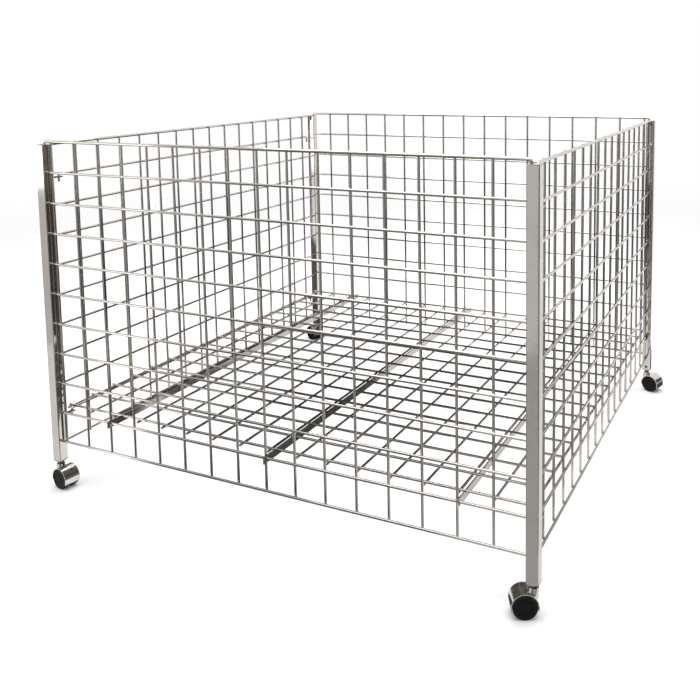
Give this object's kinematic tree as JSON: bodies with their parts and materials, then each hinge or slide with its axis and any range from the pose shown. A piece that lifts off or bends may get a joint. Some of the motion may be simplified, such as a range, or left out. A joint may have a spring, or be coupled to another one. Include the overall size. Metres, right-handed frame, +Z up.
{
  "type": "retail dump bin",
  "caption": "Square open-topped chrome wire-grid dump bin on square tube legs, with a lift-out wire shelf on flat bars and hooded twin-wheel swivel casters.",
  "frame": {"origin": "on the floor, under the middle of the bin", "axes": "+Z up; the front panel faces -Y and the left panel faces -X"},
  "size_m": [1.3459, 1.3226, 0.8813],
  "materials": {
    "wire_chrome": "bright chrome-plated round wire",
    "tube_chrome": "bright chrome-plated square tube",
    "bar_chrome": "chrome-plated flat bar",
    "hood_chrome": "polished chrome-plated die casting",
    "wheel_nylon": "black moulded nylon, satin",
    "stem_steel": "dark plated steel",
    "axle_steel": "plain steel pin",
    "socket_nylon": "dark grey moulded nylon insert"
  },
  "bodies": {
    "frame": {"back_panel_cross_wires": "wire_chrome", "back_panel_rim": "wire_chrome", "back_panel_uprights": "wire_chrome", "front_panel_cross_wires": "wire_chrome", "front_panel_rim": "wire_chrome", "front_panel_uprights": "wire_chrome", "hook_tabs_back_left": "tube_chrome", "hook_tabs_back_right": "tube_chrome", "hook_tabs_front_left": "tube_chrome", "hook_tabs_front_right": "tube_chrome", "left_panel_cross_wires": "wire_chrome", "left_panel_rim": "wire_chrome", "left_panel_uprights": "wire_chrome", "leg_back_left": "tube_chrome", "leg_back_right": "tube_chrome", "leg_cap_back_left": "tube_chrome", "leg_cap_back_right": "tube_chrome", "leg_cap_front_left": "tube_chrome", "leg_cap_front_right": "tube_chrome", "leg_front_left": "tube_chrome", "leg_front_right": "tube_chrome", "leg_socket_back_left": "socket_nylon", "leg_socket_back_right": "socket_nylon", "leg_socket_front_left": "socket_nylon", "leg_socket_front_right": "socket_nylon", "right_panel_cross_wires": "wire_chrome", "right_panel_rim": "wire_chrome", "right_panel_uprights": "wire_chrome", "shelf_bar_left": "bar_chrome", "shelf_bar_middle": "bar_chrome", "shelf_bar_right": "bar_chrome"},
    "shelf": {"shelf_cross_wires": "wire_chrome", "shelf_length_wires": "wire_chrome"},
    "caster_front_left": {"caster_hood_front_left": "hood_chrome", "caster_stem_front_left": "stem_steel", "caster_axle_front_left": "axle_steel"},
    "wheel_a_front_left": {"caster_wheel_a_front_left": "wheel_nylon"},
    "wheel_b_front_left": {"caster_wheel_b_front_left": "wheel_nylon"},
    "caster_front_right": {"caster_hood_front_right": "hood_chrome", "caster_stem_front_right": "stem_steel", "caster_axle_front_right": "axle_steel"},
    "wheel_a_front_right": {"caster_wheel_a_front_right": "wheel_nylon"},
    "wheel_b_front_right": {"caster_wheel_b_front_right": "wheel_nylon"},
    "caster_back_right": {"caster_hood_back_right": "hood_chrome", "caster_stem_back_right": "stem_steel", "caster_axle_back_right": "axle_steel"},
    "wheel_a_back_right": {"caster_wheel_a_back_right": "wheel_nylon"},
    "wheel_b_back_right": {"caster_wheel_b_back_right": "wheel_nylon"},
    "caster_back_left": {"caster_hood_back_left": "hood_chrome", "caster_stem_back_left": "stem_steel", "caster_axle_back_left": "axle_steel"},
    "wheel_a_back_left": {"caster_wheel_a_back_left": "wheel_nylon"},
    "wheel_b_back_left": {"caster_wheel_b_back_left": "wheel_nylon"}
  },
  "joints": [
    {"name": "shelf_lift", "type": "slide", "parent": "frame", "child": "shelf", "axis": [0, 0, 1], "range_m": [0, 0.6]},
    {"name": "swivel_front_left", "type": "hinge", "parent": "frame", "child": "caster_front_left", "pos_m": [-0.6223, -0.6223, 0.06], "axis": [0, 0, 1], "continuous": true},
    {"name": "roll_a_front_left", "type": "hinge", "parent": "caster_front_left", "child": "wheel_a_front_left", "pos_m": [-0.60353, -0.62527, 0.025], "axis": [0.1564, 0.9877, 0], "continuous": true},
    {"name": "roll_b_front_left", "type": "hinge", "parent": "caster_front_left", "child": "wheel_b_front_left", "pos_m": [-0.60353, -0.62527, 0.025], "axis": [0.1564, 0.9877, 0], "continuous": true},
    {"name": "swivel_front_right", "type": "hinge", "parent": "frame", "child": "caster_front_right", "pos_m": [0.6223, -0.6223, 0.06], "axis": [0, 0, 1], "continuous": true},
    {"name": "roll_a_front_right", "type": "hinge", "parent": "caster_front_right", "child": "wheel_a_front_right", "pos_m": [0.60524, -0.63066, 0.025], "axis": [0.4399, -0.898, 0], "continuous": true},
    {"name": "roll_b_front_right", "type": "hinge", "parent": "caster_front_right", "child": "wheel_b_front_right", "pos_m": [0.60524, -0.63066, 0.025], "axis": [0.4399, -0.898, 0], "continuous": true},
    {"name": "swivel_back_right", "type": "hinge", "parent": "frame", "child": "caster_back_right", "pos_m": [0.6223, 0.6223, 0.06], "axis": [0, 0, 1], "continuous": true},
    {"name": "roll_a_back_right", "type": "hinge", "parent": "caster_back_right", "child": "wheel_a_back_right", "pos_m": [0.64042, 0.61659, 0.025], "axis": [0.3007, 0.9537, 0], "continuous": true},
    {"name": "roll_b_back_right", "type": "hinge", "parent": "caster_back_right", "child": "wheel_b_back_right", "pos_m": [0.64042, 0.61659, 0.025], "axis": [0.3007, 0.9537, 0], "continuous": true},
    {"name": "swivel_back_left", "type": "hinge", "parent": "frame", "child": "caster_back_left", "pos_m": [-0.6223, 0.6223, 0.06], "axis": [0, 0, 1], "continuous": true},
    {"name": "roll_a_back_left", "type": "hinge", "parent": "caster_back_left", "child": "wheel_a_back_left", "pos_m": [-0.6393, 0.63078, 0.025], "axis": [-0.4462, -0.8949, 0], "continuous": true},
    {"name": "roll_b_back_left", "type": "hinge", "parent": "caster_back_left", "child": "wheel_b_back_left", "pos_m": [-0.6393, 0.63078, 0.025], "axis": [-0.4462, -0.8949, 0], "continuous": true}
  ]
}
